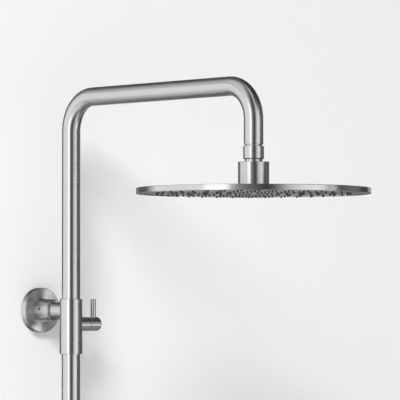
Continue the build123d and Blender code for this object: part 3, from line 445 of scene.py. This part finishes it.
outlet_place = Matrix.Translation(metres(HOSE_X, RISER_Y, 0))
turned(shape, outlet_outline, ROUND_STEPS, outlet_place)
first_turn = Matrix.Translation(metres(0, 0, outlet_foot + THREAD_START))
steps = round(THREAD_STEPS_PER_TURN * THREAD_TURNS)
rise = THREAD_TURNS * THREAD_PITCH * MM
swept(shape, ridge, 2 * math.pi * THREAD_TURNS, steps, rise, outlet_place @ first_turn)
outlet = finished("hose_outlet", shape, hose_steel, "column")
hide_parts("hose_nipple")

# Scale of the temperature handle: enamel-filled lines round it, the middle one longer, and one line on the bar's
# end. Lengths are in millimetres and turns in degrees round the bar.
HANDLE_R = 22.0
SCALE_X = 99.0
SCALE_MIDDLE = 135.0
SCALE_SPREAD = 120.0
SCALE_STEPS = 12
SHORT_MARK = 2.5
LONG_MARK = 4.5
MARK_WIDTH = 0.5
MARK_SINK = 0.15
MARK_PROUD = 0.03
MARK_STEPS = 2
POINTER_X = 92.5
POINTER_LENGTH = 3.0
POINTER_WIDTH = 0.8


def mark(shape, middle_x, length, width, turn_degrees):
    """Adds one curved line of enamel on the bar or the handle, a hair proud of the steel."""
    low_r, high_r = HANDLE_R - MARK_SINK, HANDLE_R + MARK_PROUD
    corners = [(low_r, -length / 2), (high_r, -length / 2), (high_r, length / 2), (low_r, length / 2)]
    stand = Matrix.Rotation(math.radians(90), 4, "Y")
    about = Matrix.Rotation(math.radians(turn_degrees), 4, "X")
    place = Matrix.Translation(metres(middle_x, RISER_Y, MIXER_Z)) @ about @ stand
    swept(shape, corners, width / HANDLE_R, MARK_STEPS, 0.0, place)


shape = bmesh.new()
for number in range(SCALE_STEPS + 1):
    length = LONG_MARK if number == SCALE_STEPS // 2 else SHORT_MARK
    turn = SCALE_MIDDLE + SCALE_SPREAD * (number / SCALE_STEPS - 0.5)
    mark(shape, SCALE_X, length, MARK_WIDTH, turn)
scale = finished("temperature_scale", shape, scale_enamel, "temperature_handle")
shape = bmesh.new()
mark(shape, POINTER_X, POINTER_LENGTH, POINTER_WIDTH, SCALE_MIDDLE)
pointer = finished("temperature_pointer", shape, scale_enamel, "column")


# Studio, in metres

WALL_Y = 0.0004
WALL_TOP = 6.0
FLOOR_Z = -1.05
STAGE_REACH = 9.0

# Matt paint: pale and even on the wall and the floor. From behind it is clear, so that it hides nothing.
wall_finish, tree = new_material("painted_wall")
facing = add(tree, "ShaderNodeNewGeometry").outputs["Backfacing"]
paint = add(tree, "ShaderNodeBsdfDiffuse", {"Color": linear("FBFBFB")})
clear = add(tree, "ShaderNodeBsdfTransparent")
one_sided = add(tree, "ShaderNodeMixShader", {0: facing, 1: paint.outputs[0], 2: clear.outputs[0]})
add(tree, "ShaderNodeOutputMaterial", {0: one_sided.outputs[0]})


def stage_sheet(name, corners, finish):
    """A flat four-cornered piece of the studio, which doesn't show in the steel."""
    mesh = bpy.data.meshes.new(name)
    shape = bmesh.new()
    shape.faces.new([shape.verts.new(corner) for corner in corners])
    shape.to_mesh(mesh)
    shape.free()
    sheet = bpy.data.objects.new(name, mesh)
    sheet.data.materials.append(finish)
    sheet.visible_glossy = False
    bpy.context.scene.collection.objects.link(sheet)


left, right = -STAGE_REACH, STAGE_REACH
wall_corners = [(left, FLOOR_Z), (right, FLOOR_Z), (right, WALL_TOP), (left, WALL_TOP)]
floor_corners = [(left, left), (right, left), (right, right), (left, right)]
stage_sheet("wall", [(x, WALL_Y, z) for x, z in wall_corners], wall_finish)
stage_sheet("floor", [(x, y, FLOOR_Z) for x, y in floor_corners], wall_finish)


def only_in_reflections(piece):
    """Hides a studio piece from everything but reflections."""
    piece.visible_camera = False
    piece.visible_diffuse = False
    piece.visible_shadow = False
    piece.visible_transmission = False


TO_CAMERA = Vector((-0.6676, -0.7445, 0.0))
CAMERA_RIGHT = Vector((0.7445, -0.6676, 0.0))
MIDDLE = Vector((0.0, -0.2, 0.1))
TENT_RADIUS = 4.0

# The tent's painted glow level with the piece, by the angle in degrees to the right of the camera: painted
# reflections for the steel.
AROUND = [
    (-180, 0.14),
    (-128, 0.12),
    (-118, 0.6),
    (-108, 1.12),
    (-98, 0.98),
    (-80, 1.03),
    (-60, 1.08),
    (-40, 1.05),
    (-22, 0.8),
    (-14, 0.35),
    (-5, 0.2),
    (4, 0.15),
    (12, 0.04),
    (18, 0.08),
    (26, 0.35),
    (36, 0.8),
    (48, 1.1),
    (60, 1.22),
    (69, 1.1),
    (76, 0.24),
    (90, 0.1),
    (104, 0.2),
    (116, 0.18),
    (128, 0.06),
    (160, 0.06),
    (180, 0.14),
]
# Its share of that by the angle in degrees above the level.
UP_AND_DOWN = [
    (-90, 0.5),
    (-50, 0.9),
    (-36, 0.7),
    (-26, 0.8),
    (-16, 1.0),
    (22, 1.0),
    (33, 0.6),
    (44, 0.8),
    (90, 0.6),
]


def ramp(tree, source, stops, low, high):
    """The level that a list of stops gives for a value."""
    share = add(tree, "ShaderNodeMapRange", {0: source, 1: low, 2: high}).outputs[0]
    node = add(tree, "ShaderNodeValToRGB", {0: share})
    elements = node.color_ramp.elements
    for number, (stop, level) in enumerate(stops):
        place = (stop - low) / (high - low)
        element = elements[number] if number < 2 else elements.new(place)
        element.position = place
        element.color = (level, level, level, 1.0)
    return node.outputs[0]


def reflection_piece(name, shape, finish):
    """Turns a bmesh into a studio piece that only shows in the steel."""
    mesh = bpy.data.meshes.new(name)
    shape.to_mesh(mesh)
    shape.free()
    piece = bpy.data.objects.new(name, mesh)
    piece.data.materials.append(finish)
    bpy.context.scene.collection.objects.link(piece)
    only_in_reflections(piece)


def reflection_tent():
    """A glowing tent round the piece, brighter and darker by direction: painted reflections, which only show in
    the metal.
    """
    finish, tree = new_material("tent_painted_reflections")
    finish.cycles.emission_sampling = "NONE"
    place = add(tree, "ShaderNodeTexCoord").outputs["Object"]
    way = calculate_vector(tree, "NORMALIZE", calculate_vector(tree, "SUBTRACT", place, tuple(MIDDLE)))
    back = calculate_vector(tree, "DOT_PRODUCT", way, tuple(TO_CAMERA))
    right = calculate_vector(tree, "DOT_PRODUCT", way, tuple(CAMERA_RIGHT))
    angle = calculate(tree, "DEGREES", calculate(tree, "ARCTAN2", right, back))
    height = add(tree, "ShaderNodeSeparateXYZ", {0: way}).outputs["Z"]
    height = calculate(tree, "DEGREES", calculate(tree, "ARCSINE", height))
    level = ramp(tree, angle, AROUND, -180, 180)
    share = ramp(tree, height, UP_AND_DOWN, -90, 90)
    strength = calculate(tree, "MULTIPLY", level, share)
    # Painted reflections: the tent glows in bright and dark bands by direction, for the metal to mirror.
    tent_glow = add(tree, "ShaderNodeEmission", {"Color": linear("FFFFFF"), "Strength": strength})
    add(tree, "ShaderNodeOutputMaterial", {0: tent_glow.outputs[0]})
    shape = bmesh.new()
    bmesh.ops.create_uvsphere(shape, u_segments=96, v_segments=48, radius=TENT_RADIUS)
    shape.transform(Matrix.Translation(MIDDLE))
    reflection_piece("reflection_tent", shape, finish)


def card(name, angle, height, distance, size, level):
    """A glowing panel, a painted reflection that only shows in the metal, by its angle to the right of the
    camera and its height.
    """
    finish, tree = new_material(name)
    glow = add(tree, "ShaderNodeEmission", {"Color": linear("FFFFFF"), "Strength": level})
    add(tree, "ShaderNodeOutputMaterial", {0: glow.outputs[0]})
    turn, lift = math.radians(angle), math.radians(height)
    level_way = math.cos(turn) * TO_CAMERA + math.sin(turn) * CAMERA_RIGHT
    way = math.cos(lift) * level_way + Vector((0, 0, math.sin(lift)))
    shape = bmesh.new()
    bmesh.ops.create_grid(shape, x_segments=1, y_segments=1, size=0.5)
    place = Matrix.Translation(MIDDLE + distance * way) @ (-way).to_track_quat("Z", "Y").to_matrix().to_4x4()
    shape.transform(place @ Matrix.Diagonal((size[0], size[1], 1, 1)))
    reflection_piece(name, shape, finish)


reflection_tent()
# Glowing panels, bright and dark: painted reflections that only show in the metal.
card("left_panel", -30, 0, 2.0, (0.8, 2.4), 1.75)
card("low_right_panel", 79, -17, 3.0, (0.36, 1.3), 3.4)
card("dark_upper_right_panel", 98, 46, 3.0, (4.6, 1.9), 0.03)
card("lower_back_panel", 180, -20, 3.0, (3.0, 1.5), 0.34)
card("back_panel", 157, 14, 3.0, (1.5, 1.4), 0.55)
card("low_right_back_panel", 135, -46, 2.8, (3.4, 1.4), 0.3)

# The key lamp: a square lamp with a soft cover, to the left of the camera and above it.
LAMP_PLACE = Vector((-4.4, -3.9, 4.0))
LAMP_SIZE = 2.2
LAMP_POWER = 340.0
data = bpy.data.lights.new("key_lamp", "AREA")
data.shape = "RECTANGLE"
data.size = data.size_y = LAMP_SIZE
data.energy = LAMP_POWER
lamp = bpy.data.objects.new("key_lamp", data)
lamp.location = LAMP_PLACE
lamp.rotation_mode = "QUATERNION"
lamp.rotation_quaternion = (-LAMP_PLACE).to_track_quat("-Z", "Y")
lamp.visible_camera = False
lamp.visible_glossy = False
bpy.context.scene.collection.objects.link(lamp)

# The sky fills the shadows. Beside the wall and the floor the camera sees a plain pale backdrop in its place.
SKY_LIGHT = 0.36
world = bpy.data.worlds.new("studio")
bpy.context.scene.world = world
world.use_nodes = True
tree = world.node_tree
tree.nodes.clear()
light = add(tree, "ShaderNodeBackground", {"Color": linear("FFFFFF"), "Strength": SKY_LIGHT})
backdrop = add(tree, "ShaderNodeBackground", {"Color": linear("EFEFEF"), "Strength": 1.0})
looked_at = add(tree, "ShaderNodeLightPath").outputs["Is Camera Ray"]
sky = add(tree, "ShaderNodeMixShader", {0: looked_at, 1: light.outputs[0], 2: backdrop.outputs[0]})
add(tree, "ShaderNodeOutputWorld", {0: sky.outputs[0]})

# Camera: level with the bracket and far off, at the photograph's angle. Its lens and place come from a fit of
# the column's edges, its tilt puts the horizon low in the frame, and its swing is a small turn to the right.
LENS = 269.9
SENSOR_WIDTH = 36.0
NEAREST, FURTHEST = 0.1, 60.0
CAMERA = (-2605.0, -3236.0, 20.8)
TILT = math.radians(1.818)
SWING = 1.75 / 2999

camera_data = bpy.data.cameras.new("camera")
camera_data.lens = LENS
camera_data.sensor_width = SENSOR_WIDTH
camera_data.clip_start = NEAREST
camera_data.clip_end = FURTHEST
camera = bpy.data.objects.new("camera", camera_data)
ahead = (SWING * CAMERA_RIGHT - TO_CAMERA).normalized()
ahead = ahead * math.cos(TILT) + Vector((0, 0, math.sin(TILT)))
camera.location = metres(*CAMERA)
camera.rotation_mode = "QUATERNION"
camera.rotation_quaternion = ahead.to_track_quat("-Z", "Y")
bpy.context.scene.collection.objects.link(camera)
bpy.context.scene.camera = camera

bpy.context.scene.view_settings.view_transform = "Standard"
